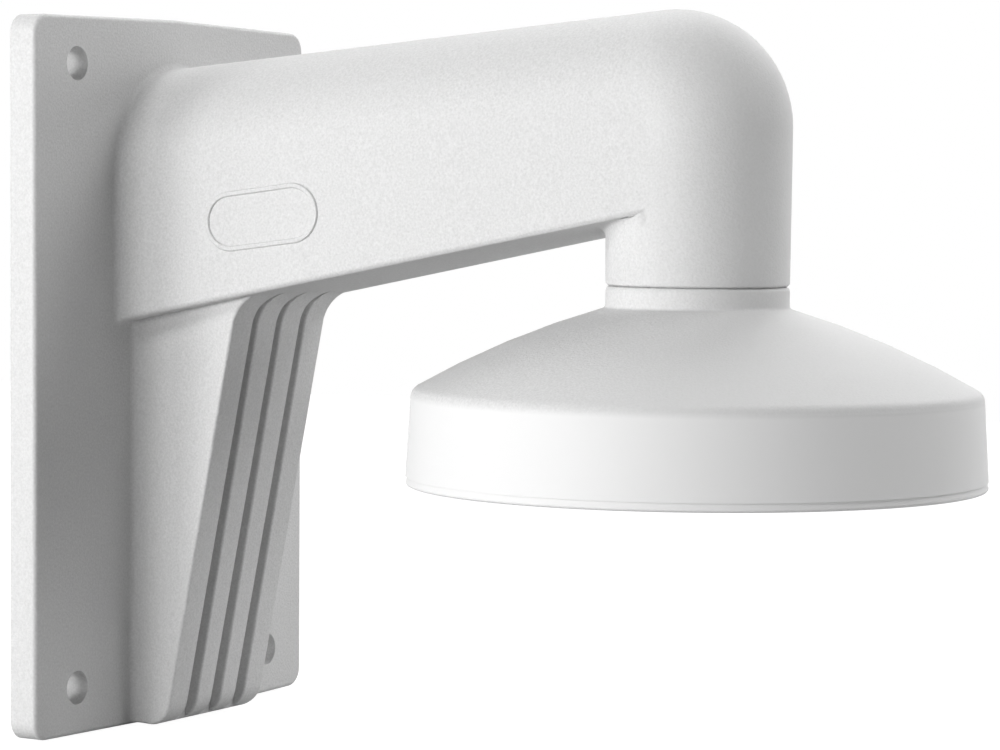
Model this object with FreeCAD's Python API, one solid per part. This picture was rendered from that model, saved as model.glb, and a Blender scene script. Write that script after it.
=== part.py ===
"""Wall bracket for a dome camera: a hollow cast arm with its wall plate, and a cap screwed into its end.

The wall is the plane Y = 0 and the arm points along -Y. Z is up and X runs along the wall.
The origin is the middle of the wall plate's back face. All sizes are in millimetres, all angles in degrees.
Heights are measured along Z, and reaches are distances out from the wall.
"""
import FreeCAD, Part
import math
import os

V = FreeCAD.Vector

# Wall plate, with a low peak in the middle of its top and bottom edges
PLATE_WIDTH = 119.3
PLATE_HEIGHT = 183.0
PLATE_PEAK = 1.1
PLATE_THICKNESS = 7.75
PLATE_SKIN = 3.6
PLATE_RIM = 4.0
PLATE_CORNER_RADIUS = 5.0
PLATE_EDGE_ROUND = 1.15

# Wall screw holes, each in a boss that reaches back to the wall
HOLE_FROM_SIDE = 17.05
HOLE_FROM_END = 12.8
HOLE_DIAMETER = 8.6
HOLE_BOSS_DIAMETER = 18.0

# Ribs in the plate's back
RIB_THICKNESS = 3.0
RIB_SETBACK = 1.0
RIB_ROWS = 4
RIB_ROW_PITCH = 38.0

# Arm, round on top and flat on its sides and underside
REACH = 160.46
ARM_ROOT_RADIUS = 26.5
ARM_ROOT_TOP = 77.81
ARM_END_RADIUS = 22.4
ELBOW_BEND_RADIUS = 5.98
ELBOW_CENTRE_HEIGHT = 62.77
UNDERSIDE_ROOT_HEIGHT = 11.88
UNDERSIDE_SLOPE = 11.01
UNDERSIDE_EDGE_ROUND = 1.45
ARM_WALL = 3.0
ROOT_FILLET = 1.7

# Down tube with the bore that takes the cap's spigot
TUBE_END_RADIUS = 22.07
TUBE_END_HEIGHT = 25.05
TUBE_EDGE_BREAK = 0.7
SPIGOT_BORE_RADIUS = 16.65
SPIGOT_BORE_DEPTH = 19.0

# Fillet where the tube meets the arm's underside, fading out towards the arm's sides
JOINT_FILLET = 2.2
JOINT_FILLET_SIDE_SHARE = 0.1
JOINT_FILLET_SPAN = 76.0
JOINT_FILLET_SECTIONS = 14

# Brace under the arm
BRACE_FRONT_REACH = 37.66
BRACE_FRONT_LEAN = 11.2
BRACE_FRONT_HALF_WIDTH = 21.2
BRACE_ROOT_HALF_WIDTH = 18.6
BRACE_FROM_PLATE_END = 0.8
BRACE_CURL_RADIUS = 7.5
BRACE_FLARE_RADIUS = 11.0
BRACE_EDGE_ROUND = 0.8
BRACE_WALL = 3.0

# Grooves down the brace's front
GROOVE_COUNT = 3
GROOVE_PITCH = 10.93
GROOVE_DEPTH = 3.0
GROOVE_TOP_WIDTH = 2.36
GROOVE_BOTTOM_WIDTH = 4.26
GROOVE_RUN_OUT_RADIUS = 14.5

# Raised oval ring on one side of the arm
OVAL_LENGTH = 33.5
OVAL_HEIGHT = 15.1
OVAL_BEAD = 1.4
OVAL_RAISE = 0.4
OVAL_EDGE_BREAK = 0.3
OVAL_REACH = 51.4
OVAL_CENTRE_HEIGHT = 40.55
OVAL_TILT = 7.1

# Cap: collar, cone and rim
COLLAR_LENGTH = 5.2
COLLAR_EDGE_ROUND = 1.15
COLLAR_FOOT_FILLET = 1.0
CONE_START_SLOPE = 16.4
CONE_ARC_RADIUS = 213.5
RIM_TOP_RADIUS = 68.48
RIM_BOTTOM_RADIUS = 69.82
RIM_BOTTOM_HEIGHT = -22.88
SHOULDER_ROUND = 3.0
LIP_LENGTH = 2.15
LIP_STEP = 0.12
CAP_WALL = 3.0
SPIGOT_LENGTH = 15.0
SPIGOT_CLEARANCE = 0.15
CABLE_BORE_RADIUS = 12.5

# Camera screw posts and ribs under the cap
POST_COUNT = 3
POST_CIRCLE_RADIUS = 52.0
POST_DIAMETER = 9.0
POST_SETBACK = 1.5
POST_HOLE_DIAMETER = 3.3
POST_HOLE_DEPTH = 10.0
CAP_RIBS_PER_POST = 2
CAP_RIB_THICKNESS = 2.4
CAP_RIB_DEPTH = 5.0
POST_WEB_SETBACK = 4.0

# Seal ring in a step of the tube's mouth
SEAL_WIDTH = 1.9
SEAL_HEIGHT = 1.6
SEAL_CLEARANCE = 0.1

# Lock screw through the tube's side that faces the wall
LOCK_SCREW_DIAMETER = 4.0
LOCK_SCREW_CLEARANCE = 0.05
LOCK_SCREW_HEIGHT = 33.0
LOCK_SCREW_RECESS = 0.6
LOCK_SCREW_SOCKET = 2.0
LOCK_SCREW_SOCKET_DEPTH = 2.2

# How far cutting tools run past what they cut
OVERRUN = 20.0

# How near two places count as the same place
TOUCH = 0.01

# Straight steps that stand in for each turned or drawn curve
CONE_STEPS = 4
INNER_CONE_STEPS = 2
ROUND_STEPS = 4
SMALL_ROUND_STEPS = 3


def at(reach, height, x=0.0):
    """The point at this reach and height."""
    return V(x, -reach, height)


def face_of(edges):
    """The flat face inside a closed loop of edges or corner points."""
    if isinstance(edges[0], V):
        return Part.Face(Part.makePolygon(edges + [edges[0]]))
    return Part.Face(Part.Wire(edges))


def line(start, end):
    return Part.LineSegment(start, end).toShape()


def chain(points):
    """Straight edges from point to point."""
    return [line(start, end) for start, end in zip(points, points[1:])]


def steps_along(curve, count):
    """Points at even steps along an arc, given as its start, middle and end."""
    return Part.Arc(*curve).toShape().discretize(count + 1)


def rounded_corner(before, corner, after, radius):
    """The two tangent points and the middle of the arc that rounds a corner."""
    one = (before - corner).normalize()
    two = (after - corner).normalize()
    half_angle = one.getAngle(two) / 2
    start = corner + one * (radius / math.tan(half_angle))
    end = corner + two * (radius / math.tan(half_angle))
    middle_way = (one + two).normalize()
    middle = corner + middle_way * (radius / math.sin(half_angle) - radius)
    return start, middle, end


def across(face, half_width):
    """A side-on outline pushed along X to both sides of the middle."""
    shifted = face.copy()
    shifted.translate(V(-half_width, 0, 0))
    return shifted.extrude(V(2 * half_width, 0, 0))


def half_space_below(reach, height, slope):
    """A large block under the sloping line through one point."""
    size = 2 * (REACH + PLATE_HEIGHT)
    block = Part.makeBox(size, size, size, V(-size / 2, -size / 2, -size))
    block.rotate(V(0, 0, 0), V(1, 0, 0), -slope)
    block.translate(at(reach, height))
    return block


def edges_where(shape, test):
    """The edges whose every sampled point passes the test."""
    found = []
    for edge in shape.Edges:
        points = edge.discretize(5)
        if all(test(point) for point in points):
            found.append(edge)
    return found


def turned(edges):
    """A half outline turned round the down tube's axis."""
    shape = face_of(edges).revolve(V(0, 0, 0), V(0, 0, 1), 360)
    shape.translate(at(REACH, 0))
    return shape


def plate_outline(inset, corner_radius, thickness):
    """The plate's outline, set in by some amount, pushed out from the wall."""
    half_width = PLATE_WIDTH / 2 - inset
    peak = PLATE_HEIGHT / 2 - inset
    corner = peak - PLATE_PEAK
    points = [at(0, corner, -half_width), at(0, peak), at(0, corner, half_width),
              at(0, -corner, half_width), at(0, -peak), at(0, -corner, -half_width)]
    block = face_of(points).extrude(at(thickness, 0))

    def on_corner(point):
        return abs(abs(point.x) - half_width) < TOUCH and abs(abs(point.z) - corner) < TOUCH

    return block.makeFillet(corner_radius, edges_where(block, on_corner))


def plate():
    """The plate before it is hollowed, with its front edge rounded."""
    block = plate_outline(0, PLATE_CORNER_RADIUS, PLATE_THICKNESS)
    front = edges_where(block, lambda p: abs(p.y + PLATE_THICKNESS) < TOUCH)
    return block.makeFillet(PLATE_EDGE_ROUND, front)


def arm_line():
    """The slope of the arm's centre line, and the reach and height where its bend starts."""
    run = REACH - ELBOW_BEND_RADIUS
    rise = ELBOW_CENTRE_HEIGHT - (ARM_ROOT_TOP - ARM_ROOT_RADIUS)
    slope = math.atan2(rise, run) + math.asin(ELBOW_BEND_RADIUS / math.hypot(run, rise))
    reach = run - ELBOW_BEND_RADIUS * math.sin(slope)
    height = ELBOW_CENTRE_HEIGHT + ELBOW_BEND_RADIUS * math.cos(slope)
    return slope, reach, height


def underside_height(reach):
    return UNDERSIDE_ROOT_HEIGHT + reach * math.tan(math.radians(UNDERSIDE_SLOPE))


def tube_radius(height):
    """The down tube's outer radius, which grows a little towards the elbow."""
    share = (height - TUBE_END_HEIGHT) / (ELBOW_CENTRE_HEIGHT - TUBE_END_HEIGHT)
    return TUBE_END_RADIUS + share * (ARM_END_RADIUS - TUBE_END_RADIUS)


class ArmFrame:
    """Directions and widths along the arm, for its outside or for its hollow."""

    def __init__(self, inset):
        self.slope, self.bend_reach, self.bend_height = arm_line()
        self.along = V(0, -math.cos(self.slope), math.sin(self.slope))
        self.upward = V(0, math.sin(self.slope), math.cos(self.slope))
        self.bend = at(self.bend_reach, self.bend_height)
        self.length = self.bend_reach / math.cos(self.slope)
        self.end_radius = ARM_END_RADIUS - inset
        self.taper = (ARM_ROOT_RADIUS - ARM_END_RADIUS) / self.length
        meeting = underside_height(REACH)
        past_bend = (at(REACH, meeting) - self.bend).dot(self.along)
        self.end_taper = (ARM_END_RADIUS - tube_radius(meeting)) / past_bend

    def half_width(self, point):
        """Half the width between the flat sides, which meet the down tube's sides at the underside."""
        before_bend = (self.bend - point).dot(self.along)
        taper = self.taper if before_bend > 0 else self.end_taper
        return self.end_radius + before_bend * taper

    def section(self, before_bend, depth):
        """An arch with straight legs, square to the centre line."""
        centre = self.bend - self.along * before_bend
        radius = self.half_width(centre)
        side = V(radius, 0, 0)
        top = centre + self.upward * radius
        foot = centre - self.upward * depth
        arch = Part.Arc(centre + side, top, centre - side).toShape()
        legs = chain([centre - side, foot - side, foot + side, centre + side])
        return Part.Wire([arch] + legs)

    def wedge(self, outline):
        """The solid between the flat sides over a side-on outline of corner points."""
        left = [point - V(self.half_width(point), 0, 0) for point in outline]
        right = [point + V(self.half_width(point), 0, 0) for point in outline]
        faces = [face_of(left), face_of(right)]
        for index, point in enumerate(left):
            after = (index + 1) % len(outline)
            faces.append(face_of([point, left[after], right[after], right[index]]))
        return Part.makeSolid(Part.makeShell(faces))


def arm_beam(inset, floor_height):
    """The straight part of the arm with its flat sides, cut off along its underside."""
    frame = ArmFrame(inset)
    depth = ARM_ROOT_TOP
    behind = frame.length + OVERRUN
    beam = Part.makeLoft([frame.section(behind, depth), frame.section(0, depth)], True, True)
    low = underside_height(REACH) + floor_height
    under_elbow = frame.wedge([frame.bend, at(REACH, ELBOW_CENTRE_HEIGHT), at(REACH, low - OVERRUN),
                               frame.bend - frame.upward * depth])
    beam = beam.fuse(under_elbow).removeSplitter()
    beam = beam.cut(half_space_below(0, UNDERSIDE_ROOT_HEIGHT + floor_height, UNDERSIDE_SLOPE))
    return beam.removeSplitter()


def elbow():
    """The bend from the arm into the down tube: the outer part of a round section, turned."""
    frame = ArmFrame(0)
    centre = at(REACH - ELBOW_BEND_RADIUS, ELBOW_CENTRE_HEIGHT)
    radius = frame.end_radius
    half_chord = math.sqrt(radius ** 2 - ELBOW_BEND_RADIUS ** 2)
    top = centre + frame.upward * (ELBOW_BEND_RADIUS + radius)
    left = centre - V(half_chord, 0, 0)
    right = centre + V(half_chord, 0, 0)
    section = face_of([Part.Arc(right, top, left).toShape(), line(left, right)])
    return section.revolve(centre, V(1, 0, 0), 90 + math.degrees(frame.slope))


def tube(inset, bottom):
    """The down tube from the elbow to some height."""
    height = ELBOW_CENTRE_HEIGHT - bottom
    lower = tube_radius(bottom) - inset
    return Part.makeCone(lower, ARM_END_RADIUS - inset, height, at(REACH, bottom), V(0, 0, 1))


def joint_corner(angle):
    """Where the down tube meets the underside, at an angle round the tube from its wall side.

    The tube tapers, so its radius and the height are found in turn until they agree.
    """
    radius = TUBE_END_RADIUS
    for _ in range(ROUND_STEPS):
        height = underside_height(REACH - radius * math.cos(angle))
        radius = tube_radius(height)
    return at(REACH - radius * math.cos(angle), height, radius * math.sin(angle))


def joint_fillet():
    """The fillet under the arm where the down tube leaves it, in straight steps round the tube."""
    rise = math.tan(math.radians(UNDERSIDE_SLOPE))
    sections = []
    for index in range(JOINT_FILLET_SECTIONS + 1):
        share = 2 * index / JOINT_FILLET_SECTIONS - 1
        angle = math.radians(share * JOINT_FILLET_SPAN)
        radius = JOINT_FILLET * (1 - share ** 4 * (1 - JOINT_FILLET_SIDE_SHARE))
        outward = V(math.sin(angle), math.cos(angle), 0)
        up = V(0, 0, 1)
        corner = joint_corner(angle)
        curve = rounded_corner(corner - up, corner, corner + outward - up * rise * math.cos(angle), radius)
        inward = radius / 2
        buried = [curve[2] + up * inward, corner + (up - outward) * inward, curve[0] - outward * inward]
        loop = steps_along(curve, SMALL_ROUND_STEPS) + buried
        sections.append(Part.makePolygon(loop + loop[:1]))
    return Part.makeLoft(sections, True, True)


def behind_wall():
    """A large block behind the wall plane."""
    size = 2 * (REACH + PLATE_HEIGHT)
    return Part.makeBox(size, size, size, V(-size / 2, 0, -size / 2))


def arm():
    """The arm's outside, with its lower long edges rounded."""
    beam = arm_beam(0, 0).cut(behind_wall())

    def on_lower_edge(point):
        beside = abs(point.x) > ARM_END_RADIUS - UNDERSIDE_EDGE_ROUND
        return beside and abs(point.z - underside_height(-point.y)) < TOUCH

    beam = beam.makeFillet(UNDERSIDE_EDGE_ROUND, edges_where(beam, on_lower_edge))
    down = tube(0, TUBE_END_HEIGHT)
    mouth = edges_where(down, lambda p: abs(p.z - TUBE_END_HEIGHT) < TOUCH)
    down = down.makeChamfer(TUBE_EDGE_BREAK, mouth)
    return beam.fuse([elbow(), down, joint_fillet()]).removeSplitter()


def elbow_dome():
    """The upper end of the tube's hollow, which keeps the wall under the elbow's outside."""
    radius = ELBOW_BEND_RADIUS + ARM_END_RADIUS - ARM_WALL
    top_angle = math.acos(ELBOW_BEND_RADIUS / radius)
    points = []
    for index in range(ROUND_STEPS + 1):
        angle = top_angle * index / ROUND_STEPS
        height = ELBOW_CENTRE_HEIGHT + radius * math.sin(angle)
        points.append(V(radius * math.cos(angle) - ELBOW_BEND_RADIUS, 0, height))
    foot = V(0, 0, ELBOW_CENTRE_HEIGHT)
    return turned(chain(points + [foot, points[0]]))


def arm_hollow():
    """The cable duct through the arm, open at the wall and at the tube's mouth."""
    floor = ARM_WALL / math.cos(math.radians(UNDERSIDE_SLOPE))
    beam = arm_beam(ARM_WALL, floor)
    down = tube(ARM_WALL, TUBE_END_HEIGHT + SPIGOT_BORE_DEPTH)
    below = at(REACH, TUBE_END_HEIGHT - OVERRUN)
    bore = Part.makeCylinder(SPIGOT_BORE_RADIUS, SPIGOT_BORE_DEPTH + OVERRUN, below)
    step = Part.makeCylinder(SPIGOT_BORE_RADIUS + SEAL_WIDTH, SEAL_HEIGHT + OVERRUN, below)
    return beam.fuse([elbow_dome(), down, bore, step])


def brace_bottom():
    """The height of the brace's lower end, a little above the plate's lower edge."""
    return BRACE_FROM_PLATE_END - PLATE_HEIGHT / 2


def front_reach(height):
    """How far the brace's front plane stands out at a height."""
    return BRACE_FRONT_REACH + height * math.tan(math.radians(BRACE_FRONT_LEAN))


def corner_with_underside(setback):
    """Where a plane parallel to the brace's front meets the arm's underside."""
    lean = math.tan(math.radians(BRACE_FRONT_LEAN))
    rise = math.tan(math.radians(UNDERSIDE_SLOPE))
    start = BRACE_FRONT_REACH - setback / math.cos(math.radians(BRACE_FRONT_LEAN))
    reach = (start + lean * UNDERSIDE_ROOT_HEIGHT) / (1 - lean * rise)
    return at(reach, underside_height(reach))


def brace_half_outline(height, side_wall, foot_fillet):
    """One side of the brace seen from above, from behind the plate's front to past the brace's front."""
    front = front_reach(height)
    half_root = BRACE_ROOT_HALF_WIDTH - side_wall
    flare = BRACE_FRONT_HALF_WIDTH - BRACE_ROOT_HALF_WIDTH

    def side_point(reach):
        share = (reach - PLATE_THICKNESS) / (front - PLATE_THICKNESS)
        return at(reach, height, half_root + share * flare)

    past_front = side_point(2 * front - PLATE_THICKNESS)
    if not foot_fillet:
        return [side_point(-OVERRUN), past_front]
    on_plate = at(PLATE_THICKNESS, height, PLATE_WIDTH / 2)
    curve = rounded_corner(on_plate, side_point(PLATE_THICKNESS), past_front, foot_fillet)
    return [at(0, height, curve[0].x)] + steps_along(curve, ROUND_STEPS) + [past_front]


def brace_blank(side_wall, foot_fillet):
    """The brace's flaring sides, set in by a wall, with the foot that rounds them into the plate."""
    sections = []
    for height in (brace_bottom(), underside_height(REACH)):
        half = brace_half_outline(height, side_wall, foot_fillet)
        other_half = [V(-point.x, point.y, point.z) for point in reversed(half)]
        sections.append(Part.makePolygon(half + other_half + half[:1]))
    return Part.makeLoft(sections, True, True)


def brace_side_view():
    """The brace's outline from the side: front, flare into the arm, curl at the bottom."""
    corner = corner_with_underside(0)
    bottom_corner = at(front_reach(brace_bottom()), brace_bottom())
    far_out = at(REACH, underside_height(REACH))
    flare = rounded_corner(bottom_corner, corner, far_out, BRACE_FLARE_RADIUS)
    curl = rounded_corner(corner, bottom_corner, at(0, brace_bottom()), BRACE_CURL_RADIUS)
    inside = flare[2] + V(0, 0, ARM_WALL)
    back_top = at(0, inside.z)
    back_bottom = at(0, brace_bottom())
    back = chain([flare[2], inside, back_top, back_bottom, curl[2]])
    front = [Part.Arc(*curl).toShape(), line(curl[0], flare[0]), Part.Arc(*flare).toShape()]
    return face_of(back + front)


def brace():
    """The brace's outside with its front edges rounded."""
    shape = across(brace_side_view(), PLATE_WIDTH / 2).common(brace_blank(0, ROOT_FILLET))
    wide = BRACE_ROOT_HALF_WIDTH + TOUCH

    def on_front_edge(point):
        in_front = -point.y > PLATE_THICKNESS + TOUCH and abs(point.x) > wide
        below_arm = point.z < underside_height(-point.y) + TOUCH
        return in_front and below_arm

    edges = []
    for edge in shape.Edges:
        points = edge.discretize(7)[1:-1]
        if all(on_front_edge(point) for point in points):
            edges.append(edge)
    return shape.makeFillet(BRACE_EDGE_ROUND, edges)


def brace_hollow():
    """The space inside the brace, open at the wall."""
    corner = corner_with_underside(GROOVE_DEPTH + BRACE_WALL)
    floor = brace_bottom() + BRACE_WALL
    setback = (GROOVE_DEPTH + BRACE_WALL) / math.cos(math.radians(BRACE_FRONT_LEAN))
    floor_reach = front_reach(floor) - setback
    low_corner = at(floor_reach, floor)
    curl = rounded_corner(corner, low_corner, at(0, floor), BRACE_CURL_RADIUS - BRACE_WALL)
    back_top = at(-OVERRUN, underside_height(-OVERRUN))
    back_bottom = at(-OVERRUN, floor)
    side_view = face_of([line(corner, back_top), line(back_top, back_bottom), line(back_bottom, curl[2]),
                         Part.Arc(*curl).toShape(), line(curl[0], corner)])
    return across(side_view, PLATE_WIDTH / 2).common(brace_blank(BRACE_WALL, 0))


def grooves():
    """The cutters for the grooves, which run out on the arm's underside and through the brace's bottom."""
    floor_corner = corner_with_underside(GROOVE_DEPTH)
    lean = math.radians(BRACE_FRONT_LEAN)
    low = brace_bottom() - OVERRUN
    floor_low = at(front_reach(low) - GROOVE_DEPTH / math.cos(lean), low)
    far_out = at(REACH, underside_height(REACH))
    start, middle, end = rounded_corner(floor_low, floor_corner, far_out, GROOVE_RUN_OUT_RADIUS)
    front_low = at(REACH, low)
    side_view = face_of([Part.Arc(start, middle, end).toShape()]
                        + chain([end, at(REACH, end.z), front_low, floor_low, start]))
    blank = across(side_view, PLATE_WIDTH / 2)
    top = end.z + GROOVE_DEPTH
    spread = (GROOVE_BOTTOM_WIDTH - GROOVE_TOP_WIDTH) / 2 / (underside_height(0) - brace_bottom())
    half_top = GROOVE_TOP_WIDTH / 2 - spread * (top - UNDERSIDE_ROOT_HEIGHT)
    half_low = GROOVE_BOTTOM_WIDTH / 2 + spread * (brace_bottom() - low)
    cutters = []
    for index in range(GROOVE_COUNT):
        middle_x = (index - (GROOVE_COUNT - 1) / 2) * GROOVE_PITCH
        points = [at(0, top, middle_x - half_top), at(0, top, middle_x + half_top),
                  at(0, low, middle_x + half_low), at(0, low, middle_x - half_low)]
        cutters.append(face_of(points).extrude(at(REACH, 0)).common(blank))
    return cutters


def oval_outline(length, height):
    """An oval with straight long sides round the origin, in the plane of Y and Z."""
    radius = height / 2
    half = length / 2 - radius
    corners = [V(0, half, radius), V(0, half + radius, 0), V(0, half, -radius),
               V(0, -half, -radius), V(0, -half - radius, 0), V(0, -half, radius)]
    return face_of([Part.Arc(*corners[:3]).toShape(), line(corners[2], corners[3]),
                    Part.Arc(*corners[3:]).toShape(), line(corners[5], corners[0])])


def oval_ring():
    """The raised ring on the arm's side at -X, square to that side, with its edges broken."""
    depth = ARM_WALL / 2
    field = oval_outline(OVAL_LENGTH - 2 * OVAL_BEAD, OVAL_HEIGHT - 2 * OVAL_BEAD)
    ring = oval_outline(OVAL_LENGTH, OVAL_HEIGHT).cut(field).extrude(V(-depth - OVAL_RAISE, 0, 0))
    ring.translate(V(depth, 0, 0))
    ring = ring.makeChamfer(OVAL_EDGE_BREAK, edges_where(ring, lambda p: abs(p.x + OVAL_RAISE) < TOUCH))
    ring.rotate(V(0, 0, 0), V(1, 0, 0), -OVAL_TILT)
    frame = ArmFrame(0)
    ring.rotate(V(0, 0, 0), frame.upward, math.degrees(math.atan(frame.taper)))
    place = at(OVAL_REACH, OVAL_CENTRE_HEIGHT)
    ring.translate(place - V(frame.half_width(place), 0, 0))
    return ring


def hole_places():
    """The middles of the four wall screw holes on the wall plane."""
    half_x = PLATE_WIDTH / 2 - HOLE_FROM_SIDE
    half_z = PLATE_HEIGHT / 2 - HOLE_FROM_END
    return [at(0, side_z * half_z, side_x * half_x) for side_x in (-1, 1) for side_z in (-1, 1)]


def plate_pocket(solid_arm, solid_brace):
    """What is taken out of the plate's back, round the arm, the brace, the screw bosses and the ribs."""
    depth = PLATE_THICKNESS - PLATE_SKIN
    corner_radius = max(PLATE_CORNER_RADIUS - PLATE_RIM, PLATE_EDGE_ROUND)
    pocket = plate_outline(PLATE_RIM, corner_radius, depth)
    kept = [solid_arm, solid_brace]
    for place in hole_places():
        kept.append(Part.makeCylinder(HOLE_BOSS_DIAMETER / 2, depth, place, V(0, -1, 0)))
    for row in range(RIB_ROWS):
        height = (row - (RIB_ROWS - 1) / 2) * RIB_ROW_PITCH
        corner = V(-PLATE_WIDTH / 2, -depth - RIB_SETBACK, height - RIB_THICKNESS / 2)
        kept.append(Part.makeBox(PLATE_WIDTH, depth, RIB_THICKNESS, corner))
    foot = V(-RIB_THICKNESS / 2, -depth - RIB_SETBACK, 0)
    kept.append(Part.makeBox(RIB_THICKNESS, depth, PLATE_HEIGHT / 2, foot))
    return pocket.cut(kept)


def lock_screw_bore():
    """The threaded hole for the lock screw, from the spigot bore out through the tube's side."""
    radius = LOCK_SCREW_DIAMETER / 2 + LOCK_SCREW_CLEARANCE
    return Part.makeCylinder(radius, TUBE_END_RADIUS + OVERRUN, at(REACH, LOCK_SCREW_HEIGHT), V(0, 1, 0))


def bracket_body():
    """The whole casting: plate, hollow arm, elbow, down tube and brace."""
    solid_arm = arm()
    solid_brace = brace()
    joined = plate().fuse(solid_arm)

    def on_root(point):
        clear_of_sides = abs(point.x) < PLATE_WIDTH / 2 - PLATE_RIM
        clear_of_ends = abs(point.z) < PLATE_HEIGHT / 2 - PLATE_RIM
        return abs(point.y + PLATE_THICKNESS) < TOUCH and clear_of_sides and clear_of_ends

    joined = joined.makeFillet(ROOT_FILLET, edges_where(joined, on_root))
    joined = joined.fuse([solid_brace, oval_ring()])
    joined = joined.cut(grooves())
    joined = joined.cut(plate_pocket(solid_arm, solid_brace))
    joined = joined.cut([arm_hollow(), brace_hollow(), lock_screw_bore()])
    for place in hole_places():
        joined = joined.cut(Part.makeCylinder(HOLE_DIAMETER / 2, PLATE_THICKNESS, place, V(0, -1, 0)))
    return joined.removeSplitter()


def cone_centre():
    """The centre of the cone's long arc, as a radius and a height."""
    slope = math.radians(CONE_START_SLOPE)
    radius = TUBE_END_RADIUS - CONE_ARC_RADIUS * math.sin(slope)
    height = TUBE_END_HEIGHT - COLLAR_LENGTH - CONE_ARC_RADIUS * math.cos(slope)
    return radius, height


def cone_height(radius, depth):
    """The height of the cone at a radius, some depth below its outside."""
    centre_radius, centre_height = cone_centre()
    return centre_height + math.sqrt((CONE_ARC_RADIUS - depth) ** 2 - (radius - centre_radius) ** 2)


def cone_points(start, end, depth, steps):
    """Points along the cone's arc between two radii, some depth below its outside."""
    curve = [V(radius, 0, cone_height(radius, depth)) for radius in (start, (start + end) / 2, end)]
    return steps_along(curve, steps)


def rim_radius(height):
    """The rim's outer radius, which grows a little towards its lower edge."""
    top = cone_height(RIM_TOP_RADIUS, 0)
    share = (top - height) / (top - RIM_BOTTOM_HEIGHT)
    return RIM_TOP_RADIUS + share * (RIM_BOTTOM_RADIUS - RIM_TOP_RADIUS)


def polar(radius, angle, height):
    """The point round the down tube's axis, with the angle counted from +X."""
    return V(radius * math.cos(angle), radius * math.sin(angle) - REACH, height)


def cap_outside():
    """The cap's outside from the spigot's top down to the rim's lower edge, as points."""
    spigot = SPIGOT_BORE_RADIUS - SPIGOT_CLEARANCE
    spigot_top = V(spigot, 0, TUBE_END_HEIGHT + SPIGOT_LENGTH)
    seat = V(spigot, 0, TUBE_END_HEIGHT)
    collar_top = V(TUBE_END_RADIUS, 0, TUBE_END_HEIGHT)
    cone = cone_points(TUBE_END_RADIUS, RIM_TOP_RADIUS, 0, CONE_STEPS)
    lip_top = RIM_BOTTOM_HEIGHT + LIP_LENGTH
    lip_edge = V(rim_radius(lip_top), 0, lip_top)
    collar_edge = rounded_corner(seat, collar_top, cone[0], COLLAR_EDGE_ROUND)
    collar_foot = rounded_corner(collar_top, cone[0], cone[1], COLLAR_FOOT_FILLET)
    shoulder = rounded_corner(cone[-2], cone[-1], lip_edge, SHOULDER_ROUND)
    points = [spigot_top, seat]
    points += steps_along(collar_edge, SMALL_ROUND_STEPS) + steps_along(collar_foot, SMALL_ROUND_STEPS)
    points += cone[1:-1] + steps_along(shoulder, ROUND_STEPS)
    lip_foot = V(RIM_BOTTOM_RADIUS - LIP_STEP, 0, RIM_BOTTOM_HEIGHT)
    return points + [lip_edge, lip_edge - V(LIP_STEP, 0, 0), lip_foot]


def cap_shell():
    """Spigot, collar, cone and rim with the open bell under them."""
    outside = cap_outside()
    inner_rim = V(RIM_BOTTOM_RADIUS - CAP_WALL, 0, RIM_BOTTOM_HEIGHT)
    inside = cone_points(RIM_TOP_RADIUS - CAP_WALL, CABLE_BORE_RADIUS, CAP_WALL, INNER_CONE_STEPS)
    bore_top = V(CABLE_BORE_RADIUS, 0, outside[0].z)
    return turned(chain(outside + [inner_rim] + inside + [bore_top, outside[0]]))


def cone_band(inner, outer, top_depth, low_points):
    """A turned band under the cone between two radii, closed by its lower points."""
    points = cone_points(inner, outer, top_depth, INNER_CONE_STEPS) + low_points
    return turned(chain(points + points[:1]))


def radial_slab(index, count):
    """A thin upright slab out from the down tube's axis, one of several round it."""
    outer = RIM_TOP_RADIUS - CAP_WALL / 2
    slab = Part.makeBox(outer, CAP_RIB_THICKNESS, TUBE_END_HEIGHT - RIM_BOTTOM_HEIGHT,
                        V(0, -CAP_RIB_THICKNESS / 2, RIM_BOTTOM_HEIGHT))
    slab.rotate(V(0, 0, 0), V(0, 0, 1), 90 + index * 360 / count)
    slab.translate(at(REACH, 0))
    return slab


def cap_ribs():
    """Radial ribs under the cone, and a web from each screw post out to the rim."""
    inner = CABLE_BORE_RADIUS + CAP_WALL
    outer = RIM_TOP_RADIUS - CAP_WALL / 2
    web_foot = RIM_BOTTOM_HEIGHT + POST_WEB_SETBACK
    rib_foot = cone_points(outer, inner, CAP_WALL + CAP_RIB_DEPTH, INNER_CONE_STEPS)
    rib_band = cone_band(inner, outer, CAP_WALL / 2, rib_foot)
    web_band = cone_band(POST_CIRCLE_RADIUS, outer, CAP_WALL / 2,
                         [V(outer, 0, web_foot), V(POST_CIRCLE_RADIUS, 0, web_foot)])
    rib_count = POST_COUNT * CAP_RIBS_PER_POST
    ribs = [radial_slab(index, rib_count).common(rib_band) for index in range(rib_count)]
    webs = [radial_slab(index, POST_COUNT).common(web_band) for index in range(POST_COUNT)]
    return ribs + webs


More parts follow.
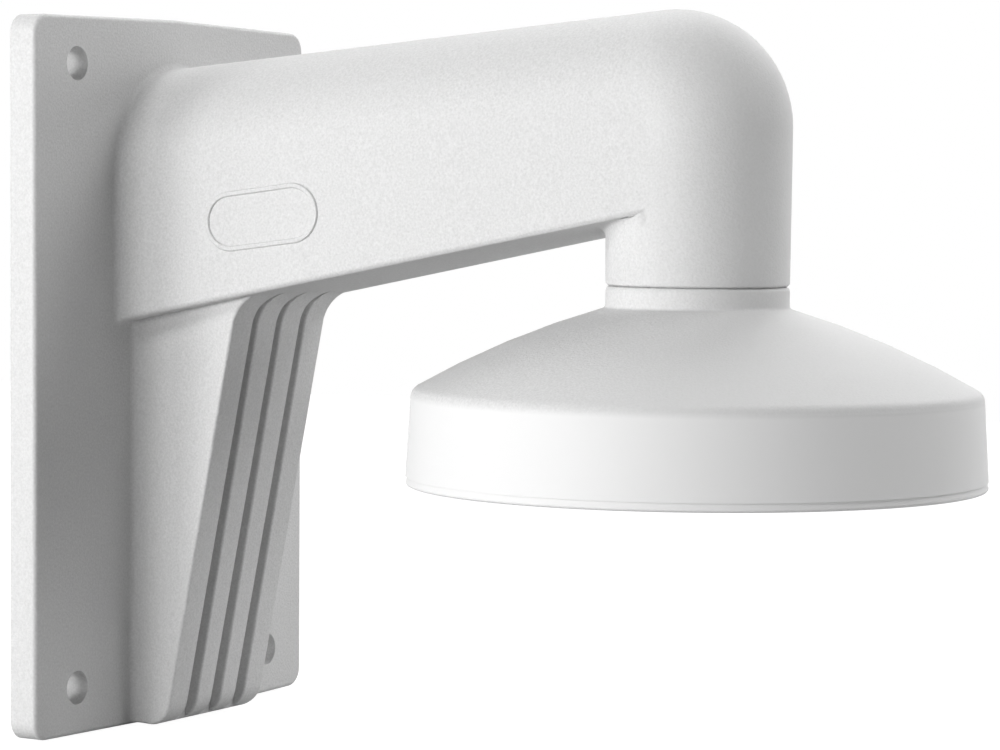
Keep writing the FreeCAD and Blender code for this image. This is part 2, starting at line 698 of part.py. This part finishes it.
def camera_cap():
    """The cap that carries the camera and screws into the down tube."""
    shape = cap_shell()
    bottom = RIM_BOTTOM_HEIGHT + POST_SETBACK
    posts = []
    holes = []
    for index in range(POST_COUNT):
        angle = math.radians(90 + index * 360 / POST_COUNT)
        foot = polar(POST_CIRCLE_RADIUS, angle, bottom)
        top = cone_height(POST_CIRCLE_RADIUS + POST_DIAMETER / 2, CAP_WALL / 2)
        posts.append(Part.makeCylinder(POST_DIAMETER / 2, top - bottom, foot))
        holes.append(Part.makeCylinder(POST_HOLE_DIAMETER / 2, POST_HOLE_DEPTH, foot))
    shape = shape.fuse(cap_ribs() + posts)
    return shape.cut(holes).removeSplitter()


def seal_ring():
    """The flat rubber ring between the cap's collar and the tube's mouth."""
    inner = SPIGOT_BORE_RADIUS - SPIGOT_CLEARANCE + SEAL_CLEARANCE
    outer = SPIGOT_BORE_RADIUS + SEAL_WIDTH - SEAL_CLEARANCE
    base = at(REACH, TUBE_END_HEIGHT)
    return Part.makeCylinder(outer, SEAL_HEIGHT, base).cut(Part.makeCylinder(inner, SEAL_HEIGHT, base))


def lock_screw():
    """A headless screw with a hexagon socket, its tip against the cap's spigot."""
    tip = SPIGOT_BORE_RADIUS - SPIGOT_CLEARANCE
    end = tube_radius(LOCK_SCREW_HEIGHT) - LOCK_SCREW_RECESS
    radius = LOCK_SCREW_DIAMETER / 2
    start = at(REACH - tip, LOCK_SCREW_HEIGHT)
    shape = Part.makeCylinder(radius, end - tip, start, V(0, 1, 0))
    corner = LOCK_SCREW_SOCKET / math.sqrt(3)
    points = []
    for index in range(6):
        angle = math.radians(60 * index)
        height = LOCK_SCREW_HEIGHT + corner * math.sin(angle)
        points.append(V(corner * math.cos(angle), end - REACH, height))
    return shape.cut(face_of(points).extrude(V(0, -LOCK_SCREW_SOCKET_DEPTH, 0)))


os.makedirs("parts", exist_ok=True)
for name, shape in (("bracket_body", bracket_body()), ("camera_cap", camera_cap()),
                    ("seal_ring", seal_ring()), ("lock_screw", lock_screw())):
    print(name, shape.ShapeType, len(shape.Solids), shape.isValid(), round(shape.Volume / 1000, 2), "cm3")
    shape.exportStep("parts/" + name + ".step")
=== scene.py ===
import math

import bmesh
import bpy
from mathutils import Matrix, Vector


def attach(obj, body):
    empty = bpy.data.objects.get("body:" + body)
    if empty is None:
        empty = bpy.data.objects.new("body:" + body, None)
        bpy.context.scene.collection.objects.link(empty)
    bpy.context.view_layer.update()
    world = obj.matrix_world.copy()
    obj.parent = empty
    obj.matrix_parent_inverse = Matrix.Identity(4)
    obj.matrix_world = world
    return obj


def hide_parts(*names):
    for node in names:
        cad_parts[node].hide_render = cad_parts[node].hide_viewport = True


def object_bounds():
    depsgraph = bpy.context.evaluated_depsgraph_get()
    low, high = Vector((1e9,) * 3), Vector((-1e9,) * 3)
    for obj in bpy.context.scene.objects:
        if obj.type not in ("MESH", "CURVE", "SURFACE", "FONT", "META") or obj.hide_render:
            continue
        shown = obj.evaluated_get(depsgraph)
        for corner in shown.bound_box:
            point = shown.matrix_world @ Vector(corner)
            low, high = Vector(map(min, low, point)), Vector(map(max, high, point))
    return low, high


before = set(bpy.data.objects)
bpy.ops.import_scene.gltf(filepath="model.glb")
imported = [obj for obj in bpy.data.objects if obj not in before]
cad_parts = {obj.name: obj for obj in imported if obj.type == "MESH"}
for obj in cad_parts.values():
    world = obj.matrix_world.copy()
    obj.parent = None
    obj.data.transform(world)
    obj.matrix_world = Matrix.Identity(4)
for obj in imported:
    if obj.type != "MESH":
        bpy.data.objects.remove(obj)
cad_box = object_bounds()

MM = 0.001

# Bracket body
# The big casting: wall plate, hollow arm with its elbow and down tube, and the grooved brace under it.
# Die-cast aluminium, powder coated white, so its skin has a fine grain like orange peel. Four screws
# hold the plate to the wall.

COAT_WHITE = (0.725, 0.725, 0.725, 1.0)
COAT_SHADE = (0.475, 0.475, 0.475, 1.0)
GRAIN_SIZE = 0.6 * MM
GRAIN_HEIGHT = 0.12 * MM
GRAIN_FADE_FROM = -150 * MM
GRAIN_FADE_TO = -185 * MM
FADED_GRAIN = 0.25
GRAIN_MIDDLE = 0.5
MERGE_REACH = 0.002 * MM
SMOOTH_ANGLE = math.radians(32)
FLAT_ANGLE = math.radians(0.2)
TIP_REACH = 0.6 * MM
FILLET_TIPS = (Vector((-21.63, -155.07, 41.97)) * MM, Vector((21.63, -155.07, 41.97)) * MM)
GROOVE_EDGE_ROUND = 0.6 * MM
ROUND_SEGMENTS = 3
GROOVES_HALF_WIDTH = 14 * MM
GROOVES_FRONT = -60 * MM
GROOVES_BACK = -10 * MM
GROOVES_TOP = 19.5 * MM
SHARP_ANGLE = math.radians(50)
ON_CURVE = 0.1 * MM
NEARLY_SQUARE = 0.9
SQUARE = 0.985
# Each round of the brace: its middle's Y and Z, its radius, and 1 where it bulges or -1 where it is hollow
BRACE_CURVES = (
    ("flare", -50.9706 * MM, 10.5906 * MM, 11.0 * MM, -1),
    ("curl", -13.5403 * MM, -83.2 * MM, 7.5 * MM, 1),
    ("groove floor", -50.7664 * MM, 6.9853 * MM, 14.5 * MM, -1),
)


def deselect_all():
    bpy.ops.object.select_all(action="DESELECT")


def merged_copy(node, name):
    """A copy of a CAD node with its triangles joined."""
    deselect_all()
    source = bpy.data.objects[node]
    piece = source.copy()
    piece.data = source.data.copy()
    piece.name = name
    piece.data.name = name
    bpy.context.collection.objects.link(piece)
    piece.select_set(True)
    bpy.context.view_layer.objects.active = piece
    bpy.ops.object.mode_set(mode="EDIT")
    bpy.ops.mesh.select_all(action="SELECT")
    bpy.ops.mesh.remove_doubles(threshold=MERGE_REACH)
    bpy.ops.mesh.dissolve_limited(angle_limit=FLAT_ANGLE)
    bpy.ops.object.mode_set(mode="OBJECT")
    return piece


def draw_together(piece, tips):
    """Where a fillet runs out in a tip, its last small faces become one point."""
    for tip in tips:
        bpy.ops.object.mode_set(mode="EDIT")
        bpy.ops.mesh.select_all(action="DESELECT")
        bpy.ops.object.mode_set(mode="OBJECT")
        for corner in piece.data.vertices:
            corner.select = (corner.co - tip).length < TIP_REACH
        bpy.ops.object.mode_set(mode="EDIT")
        bpy.ops.mesh.remove_doubles(threshold=TIP_REACH)
        bpy.ops.object.mode_set(mode="OBJECT")


def round_groove_edges(piece):
    """The coat lies round over the edges where the grooves open."""
    bpy.ops.object.mode_set(mode="EDIT")
    bpy.ops.mesh.select_mode(type="EDGE")
    bpy.ops.mesh.select_all(action="DESELECT")
    shape = bmesh.from_edit_mesh(piece.data)
    for edge in shape.edges:
        ends = [corner.co for corner in edge.verts]
        in_grooves = all(abs(end.x) < GROOVES_HALF_WIDTH and GROOVES_FRONT < end.y < GROOVES_BACK
                         and end.z < GROOVES_TOP for end in ends)
        if in_grooves and edge.is_convex and edge.calc_face_angle(0) > SHARP_ANGLE:
            run = ends[1] - ends[0]
            if abs(run.x) < run.length / 2:
                edge.select = True
    bmesh.update_edit_mesh(piece.data)
    bpy.ops.mesh.bevel(offset=GROOVE_EDGE_ROUND, segments=ROUND_SEGMENTS, affect="EDGES",
                       clamp_overlap=False)
    bpy.ops.object.mode_set(mode="OBJECT")


def smooth_curves(piece):
    """Curves shade smoothly and edges stay crisp."""
    bpy.ops.object.shade_smooth_by_angle(angle=SMOOTH_ANGLE)
    even = piece.modifiers.new("even normals", "WEIGHTED_NORMAL")
    even.keep_sharp = True
    even.mode = "FACE_AREA_WITH_ANGLE"
    bpy.ops.object.modifier_apply(modifier=even.name)


def set_normals(piece, true_normal):
    """Each face corner gets the normal that true_normal finds from its place, normal and face."""
    mesh = piece.data
    kept = [corner.vector.copy() for corner in mesh.corner_normals]
    for face in mesh.polygons:
        for loop in face.loop_indices:
            place = mesh.vertices[mesh.loops[loop].vertex_index].co
            kept[loop] = true_normal(place, kept[loop], face.normal)
    mesh.normals_split_custom_set(kept)


def brace_normal(place, now, facing):
    """The normal on the brace's rounds, which run square to X."""
    for _, middle_y, middle_z, radius, outward in BRACE_CURVES:
        spoke = Vector((0, place.y - middle_y, place.z - middle_z))
        if abs(spoke.length - radius) < ON_CURVE:
            true = spoke.normalized() * outward
            if true.dot(now) > NEARLY_SQUARE or true.dot(facing) > SQUARE:
                return true
    return now


def grainy_coat(name):
    """White powder coat with a fine grain in its colour and its skin. The colour grain is partly painted
    shade: it also stands in for light and shade on the grainy skin, and it is painted fainter at the arm's
    far end, where the light shows that grain less.
    """
    material = bpy.data.materials.new(name)
    material.use_nodes = True
    nodes, links = material.node_tree.nodes, material.node_tree.links
    shader = nodes["Principled BSDF"]
    shader.inputs["Roughness"].default_value = 0.6
    shader.inputs["Specular IOR Level"].default_value = 0.2
    place = nodes.new("ShaderNodeTexCoord")
    grain = nodes.new("ShaderNodeTexNoise")
    grain.inputs["Scale"].default_value = 1 / GRAIN_SIZE
    grain.inputs["Detail"].default_value = 2.0
    grain.inputs["Roughness"].default_value = 0.6
    links.new(place.outputs["Object"], grain.inputs["Vector"])
    split = nodes.new("ShaderNodeSeparateXYZ")
    links.new(place.outputs["Object"], split.inputs[0])
    # Painted shade: the colour grain is faded from the plate out to the arm's far end, to copy how the
    # light shows it.
    fade = nodes.new("ShaderNodeMapRange")
    fade.inputs["From Min"].default_value = GRAIN_FADE_TO
    fade.inputs["From Max"].default_value = GRAIN_FADE_FROM
    fade.inputs["To Min"].default_value = FADED_GRAIN
    links.new(split.outputs["Y"], fade.inputs["Value"])
    middle = nodes.new("ShaderNodeMath")
    middle.operation = "SUBTRACT"
    middle.inputs[1].default_value = GRAIN_MIDDLE
    links.new(grain.outputs["Fac"], middle.inputs[0])
    share = nodes.new("ShaderNodeMath")
    share.operation = "MULTIPLY_ADD"
    share.inputs[2].default_value = GRAIN_MIDDLE
    links.new(middle.outputs[0], share.inputs[0])
    links.new(fade.outputs[0], share.inputs[1])
    tone = nodes.new("ShaderNodeMix")
    tone.data_type = "RGBA"
    tone.inputs[6].default_value = COAT_SHADE
    tone.inputs[7].default_value = COAT_WHITE
    links.new(share.outputs[0], tone.inputs[0])
    links.new(tone.outputs[2], shader.inputs["Base Color"])
    skin = nodes.new("ShaderNodeBump")
    skin.inputs["Strength"].default_value = 1.0
    skin.inputs["Distance"].default_value = GRAIN_HEIGHT
    links.new(grain.outputs["Fac"], skin.inputs["Height"])
    links.new(skin.outputs["Normal"], shader.inputs["Normal"])
    return material


def wear(piece, material):
    piece.data.materials.clear()
    piece.data.materials.append(material)


coat = grainy_coat("white powder coat")
body = merged_copy("bracket_body", "bracket_casting")
draw_together(body, FILLET_TIPS)
round_groove_edges(body)
smooth_curves(body)
set_normals(body, brace_normal)
wear(body, coat)
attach(body, "root")
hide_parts("bracket_body")

# Camera cap
# The bell that carries the camera: collar, cone and rim. Its spigot screws into the down tube.
# Die-cast aluminium with the same coat. The rim is turned, so the coat lies smooth on it; its brighter
# colour there is painted light.

CAP_AXIS_Y = -160.46 * MM
CAP_CORE = 17 * MM
RIM_WALL_FROM = -20.8 * MM
RIM_WALL_TO = -1.6 * MM
RIM_WALL_RADIUS = 68.3 * MM
LIP_LINE_RADIUS = 69.57 * MM
LIP_LINE_HEIGHT = -20.73 * MM
LIP_LINE_DEPTH = 0.35 * MM
CLOSE = 0.03 * MM
RIM_FOOT = -22.8 * MM
RIM_FOOT_RADIUS = 69.5 * MM
RIM_FOOT_ROUND = 0.8 * MM
RIM_FADE_FROM = -2.4 * MM
RIM_FADE_TO = -0.9 * MM
# Painted light: the rim's colour, lighter than the coat, stands in for the light that the rim catches.
RIM_PAINTED_LIGHT = (0.70, 0.70, 0.70, 1.0)
OFF_AXIS = 0.12


def spoke_to(place):
    """The level line from the cap's axis to a place."""
    return Vector((place.x, place.y - CAP_AXIS_Y, 0))


def round_rim_foot(piece):
    """The coat lies round over the rim's lower outer edge."""
    bpy.ops.object.mode_set(mode="EDIT")
    bpy.ops.mesh.select_mode(type="EDGE")
    bpy.ops.mesh.select_all(action="DESELECT")
    shape = bmesh.from_edit_mesh(piece.data)
    for edge in shape.edges:
        edge.select = all(end.co.z < RIM_FOOT and spoke_to(end.co).length > RIM_FOOT_RADIUS
                          for end in edge.verts)
    bmesh.update_edit_mesh(piece.data)
    bpy.ops.mesh.bevel(offset=RIM_FOOT_ROUND, segments=ROUND_SEGMENTS, affect="EDGES")
    bpy.ops.object.mode_set(mode="OBJECT")


def deepen_lip_line(piece):
    """The fine line above the lip is cut a little deeper, so that the coat doesn't hide it."""
    for corner in piece.data.vertices:
        spoke = spoke_to(corner.co)
        if abs(spoke.length - LIP_LINE_RADIUS) < CLOSE and abs(corner.co.z - LIP_LINE_HEIGHT) < CLOSE:
            corner.co -= spoke.normalized() * LIP_LINE_DEPTH


def cap_normal(place, now, facing):
    """The normal on the cap's turned faces, which point straight to or from its axis."""
    spoke = spoke_to(place)
    reach = spoke.length
    if reach < CAP_CORE:
        return now
    spoke.normalize()
    level = Vector((facing.x, facing.y, 0))
    if abs(level.x * spoke.y - level.y * spoke.x) > OFF_AXIS:
        return now
    on_rim_wall = RIM_WALL_FROM < place.z < RIM_WALL_TO and reach > RIM_WALL_RADIUS
    source = facing if on_rim_wall else now
    out = math.copysign(math.hypot(source.x, source.y), level.dot(spoke))
    return (spoke * out + Vector((0, 0, source.z))).normalized()


cap_coat = grainy_coat("white cap coat with painted rim light")
cap_nodes, cap_links = cap_coat.node_tree.nodes, cap_coat.node_tree.links
cap_shader = cap_nodes["Principled BSDF"]
cap_place = cap_nodes.new("ShaderNodeTexCoord")
cap_split = cap_nodes.new("ShaderNodeSeparateXYZ")
cap_links.new(cap_place.outputs["Object"], cap_split.inputs[0])
# Painted light: below the rim's top the colour turns to the lighter rim colour. The bump of the grain is
# switched off there too, so the rim is smooth.
above_rim = cap_nodes.new("ShaderNodeMapRange")
above_rim.inputs["From Min"].default_value = RIM_FADE_FROM
above_rim.inputs["From Max"].default_value = RIM_FADE_TO
cap_links.new(cap_split.outputs["Z"], above_rim.inputs["Value"])
cap_tone = cap_nodes.new("ShaderNodeMix")
cap_tone.data_type = "RGBA"
cap_tone.inputs[6].default_value = RIM_PAINTED_LIGHT
cap_links.new(above_rim.outputs[0], cap_tone.inputs[0])
cap_links.new(cap_shader.inputs["Base Color"].links[0].from_socket, cap_tone.inputs[7])
cap_links.new(cap_tone.outputs[2], cap_shader.inputs["Base Color"])
cap_links.new(above_rim.outputs[0], cap_nodes["Bump"].inputs["Strength"])
cap = merged_copy("camera_cap", "camera_cap_casting")
round_rim_foot(cap)
deepen_lip_line(cap)
smooth_curves(cap)
set_normals(cap, cap_normal)
wear(cap, cap_coat)
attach(cap, "root")
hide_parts("camera_cap")

# Seal ring
# A flat ring of black rubber, punched from sheet, that keeps the rain out of the joint.
# It lies in the step of the tube's mouth, and the cap's collar presses on it.

RUBBER_DARK = (0.010, 0.010, 0.010, 1.0)
RUBBER_PALE = (0.025, 0.025, 0.025, 1.0)
RUBBER_GRAIN = 0.4 * MM


def speckled(name, dark, pale, grain_size, roughness):
    """A material whose colour wanders between two tones in a fine grain."""
    material = bpy.data.materials.new(name)
    material.use_nodes = True
    nodes, links = material.node_tree.nodes, material.node_tree.links
    shader = nodes["Principled BSDF"]
    shader.inputs["Roughness"].default_value = roughness
    place = nodes.new("ShaderNodeTexCoord")
    grain = nodes.new("ShaderNodeTexNoise")
    grain.inputs["Scale"].default_value = 1 / grain_size
    tone = nodes.new("ShaderNodeMix")
    tone.data_type = "RGBA"
    tone.inputs[6].default_value = dark
    tone.inputs[7].default_value = pale
    links.new(place.outputs["Object"], grain.inputs["Vector"])
    links.new(grain.outputs["Fac"], tone.inputs[0])
    links.new(tone.outputs[2], shader.inputs["Base Color"])
    return material


wear(bpy.data.objects["seal_ring"], speckled("black rubber", RUBBER_DARK, RUBBER_PALE, RUBBER_GRAIN, 0.7))

# Lock screw
# A headless screw with a hexagon socket, turned from stainless steel.
# It sits flush in the tube's wall side and keeps the cap from unscrewing.

STEEL_DARK = (0.42, 0.42, 0.43, 1.0)
STEEL_PALE = (0.55, 0.55, 0.56, 1.0)
STEEL_GRAIN = 0.3 * MM

steel = speckled("stainless steel", STEEL_DARK, STEEL_PALE, STEEL_GRAIN, 0.35)
steel.node_tree.nodes["Principled BSDF"].inputs["Metallic"].default_value = 1.0
wear(bpy.data.objects["lock_screw"], steel)

# Floor and white surroundings
# A plain pale floor just under the plate and the brace. It keeps their soft shadow, and to the camera it
# is as white as the room. The room gives no light of its own: it is only seen.

FLOOR_SPAN = 2.4
FLOOR_GAP = 0.2 * MM
FLOOR_PALE = (0.45, 0.45, 0.45, 1.0)
FLOOR_SHADOW_TONE = (0.12, 0.12, 0.12, 1.0)
FLOOR_GLOW = 0.98
ROOM_WHITE = (1, 1, 1, 1)
ROOM_LIGHT = 0.0

deselect_all()
floor_height = cad_box[0][2] - FLOOR_GAP
bpy.ops.mesh.primitive_plane_add(size=FLOOR_SPAN, location=(0, 0, 0))
floor = bpy.context.active_object
floor.name = "floor"
floor.location = (0, 0, floor_height)
bpy.ops.object.transform_apply(location=True, rotation=False, scale=False)
floor_paint = bpy.data.materials.new("pale floor")
floor_paint.use_nodes = True
floor_nodes, floor_links = floor_paint.node_tree.nodes, floor_paint.node_tree.links
floor_matt = floor_nodes["Principled BSDF"]
floor_matt.inputs["Base Color"].default_value = FLOOR_PALE
floor_matt.inputs["Roughness"].default_value = 0.9
floor_seen = floor_nodes.new("ShaderNodeEmission")
floor_seen.inputs["Strength"].default_value = FLOOR_GLOW
floor_path = floor_nodes.new("ShaderNodeLightPath")
floor_choice = floor_nodes.new("ShaderNodeMixShader")
floor_sum = floor_nodes.new("ShaderNodeAddShader")
floor_dim = floor_nodes.new("ShaderNodeBsdfDiffuse")
floor_dim.inputs["Color"].default_value = FLOOR_SHADOW_TONE
floor_links.new(floor_seen.outputs[0], floor_sum.inputs[0])
floor_links.new(floor_dim.outputs[0], floor_sum.inputs[1])
floor_links.new(floor_path.outputs["Is Camera Ray"], floor_choice.inputs[0])
floor_links.new(floor_matt.outputs[0], floor_choice.inputs[1])
floor_links.new(floor_sum.outputs[0], floor_choice.inputs[2])
floor_links.new(floor_choice.outputs[0], floor_nodes["Material Output"].inputs["Surface"])
wear(floor, floor_paint)

world = bpy.data.worlds.new("white room")
bpy.context.scene.world = world
world.use_nodes = True
room_nodes, room_links = world.node_tree.nodes, world.node_tree.links
room = room_nodes["Background"]
room.inputs["Color"].default_value = ROOM_WHITE
room.inputs["Strength"].default_value = ROOM_LIGHT
seen = room_nodes.new("ShaderNodeBackground")
seen.inputs["Color"].default_value = ROOM_WHITE
seen.inputs["Strength"].default_value = 1.0
room_path = room_nodes.new("ShaderNodeLightPath")
room_choice = room_nodes.new("ShaderNodeMixShader")
room_either = room_nodes.new("ShaderNodeMath")
room_either.operation = "MAXIMUM"
room_all = room_nodes.new("ShaderNodeMath")
room_all.operation = "MAXIMUM"
room_links.new(room_path.outputs["Is Camera Ray"], room_either.inputs[0])
room_links.new(room_path.outputs["Is Transmission Ray"], room_either.inputs[1])
room_links.new(room_either.outputs[0], room_all.inputs[0])
room_links.new(room_path.outputs["Is Glossy Ray"], room_all.inputs[1])
room_links.new(room_all.outputs[0], room_choice.inputs[0])
room_links.new(room.outputs[0], room_choice.inputs[1])
room_links.new(seen.outputs[0], room_choice.inputs[2])
room_links.new(room_choice.outputs[0], room_nodes["World Output"].inputs["Surface"])

# Studio lamps
# Round soft lamps that all face the object. Each row has the lamp's angle round Z from +X, its angle of
# height, its width in metres and its power in watts.

LAMP_TARGET = Vector((0, -90 * MM, 10 * MM))
LAMP_DISTANCE = 1.6
LAMPS = (
    ("wall side low", 150, 0, 0.5, 11.6),
    ("wall side wide", 135, 0, 1.0, 11.0),
    ("left low", 168, 5, 0.5, 5.1),
    ("left low ahead", 182, 5, 0.5, 4.1),
    ("left high", 170, 40, 0.5, 8.0),
    ("right high", 20, 55, 1.0, 14.2),
    ("right ahead high", 315, 45, 1.0, 11.7),
    ("right ahead low", 300, 0, 1.0, 3.3),
    ("right ahead", 300, 25, 1.0, 1.0),
    ("ahead low", 285, 5, 0.5, 2.9),
    ("right low", 330, 10, 0.5, 2.1),
    ("right", 0, 30, 0.6, 1.8),
)
for name, around, up, size, power in LAMPS:
    around, up = math.radians(around), math.radians(up)
    toward = Vector((math.cos(around) * math.cos(up), math.sin(around) * math.cos(up), math.sin(up)))
    light = bpy.data.lights.new(name, "AREA")
    light.shape = "DISK"
    light.size = size
    light.energy = power
    lamp = bpy.data.objects.new(name, light)
    lamp.location = LAMP_TARGET + toward * LAMP_DISTANCE
    lamp.rotation_euler = toward.to_track_quat("Z", "Y").to_euler()
    bpy.context.collection.objects.link(lamp)

# Camera
# It stands to the left of the arm and ahead of the wall, a little above, as in the photograph.

CAMERA_PLACE = Vector((-714.197, -518.917, 46.769)) * MM
CAMERA_AROUND = math.radians(-59.9643)
CAMERA_DOWN = math.radians(3.1123)
CAMERA_ROLL = math.radians(0.3939)
LENS = 119.927
SENSOR = 36.0
NEAREST_SEEN = 0.01

ahead = Vector((-math.sin(CAMERA_AROUND) * math.cos(CAMERA_DOWN),
                math.cos(CAMERA_AROUND) * math.cos(CAMERA_DOWN),
                -math.sin(CAMERA_DOWN)))
level = Vector((math.cos(CAMERA_AROUND), math.sin(CAMERA_AROUND), 0))
upright = level.cross(ahead)
across = math.cos(CAMERA_ROLL) * level + math.sin(CAMERA_ROLL) * upright
above = math.cos(CAMERA_ROLL) * upright - math.sin(CAMERA_ROLL) * level
view = bpy.data.cameras.new("camera")
view.lens = LENS
view.sensor_width = SENSOR
view.clip_start = NEAREST_SEEN
camera = bpy.data.objects.new("camera", view)
turn = Matrix((across, above, -ahead)).transposed().to_4x4()
camera.matrix_world = Matrix.Translation(CAMERA_PLACE) @ turn
bpy.context.collection.objects.link(camera)
bpy.context.scene.camera = camera
bpy.context.scene.view_settings.view_transform = "Standard"
